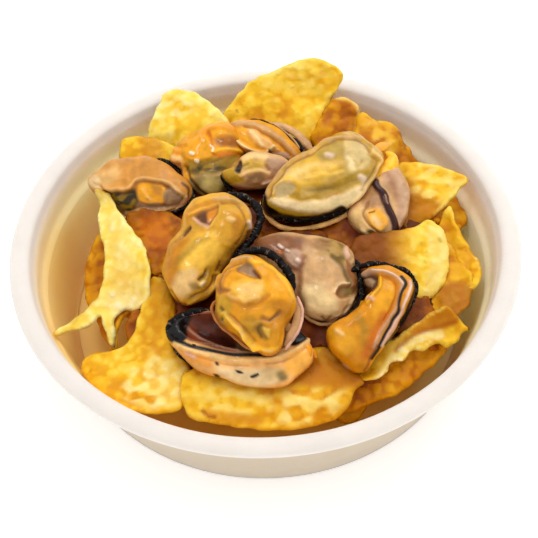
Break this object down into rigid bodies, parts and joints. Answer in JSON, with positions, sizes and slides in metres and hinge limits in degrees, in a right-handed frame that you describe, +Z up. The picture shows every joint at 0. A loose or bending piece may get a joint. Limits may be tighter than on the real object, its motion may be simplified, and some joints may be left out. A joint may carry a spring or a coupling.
{
  "type": "bowl of crisps with mussels",
  "caption": "Round moulded-fibre bowl filled with curved potato crisps, with a pile of cooked mussels on top.",
  "frame": {"origin": "centre of the bowl's base, on the surface it stands on", "axes": "+Z up along the bowl's axis, -Y towards the viewer of the picture, +X to that viewer's right"},
  "size_m": [0.16, 0.16, 0.0546],
  "materials": {
    "bowl_fibre": "pressed plant-fibre pulp, off-white and matte",
    "crisp": "fried potato, yellow to golden, blistered, with a thin sheen of oil",
    "mussel_meat": "wet cooked mussel meat, orange, peach and olive, with a dark frill round its edge"
  },
  "bodies": {
    "root": {"bowl": "bowl_fibre", "crisps": "crisp", "mussel_golden": "mussel_meat", "mussel_olive": "mussel_meat", "mussel_mustard": "mussel_meat", "mussel_beige": "mussel_meat", "mussel_small": "mussel_meat", "mussel_orange": "mussel_meat", "mussel_boat": "mussel_meat", "mussel_hooded": "mussel_meat", "mussel_frilled": "mussel_meat", "mussel_peach": "mussel_meat", "mussel_tucked": "mussel_meat"}
  },
  "joints": []
}
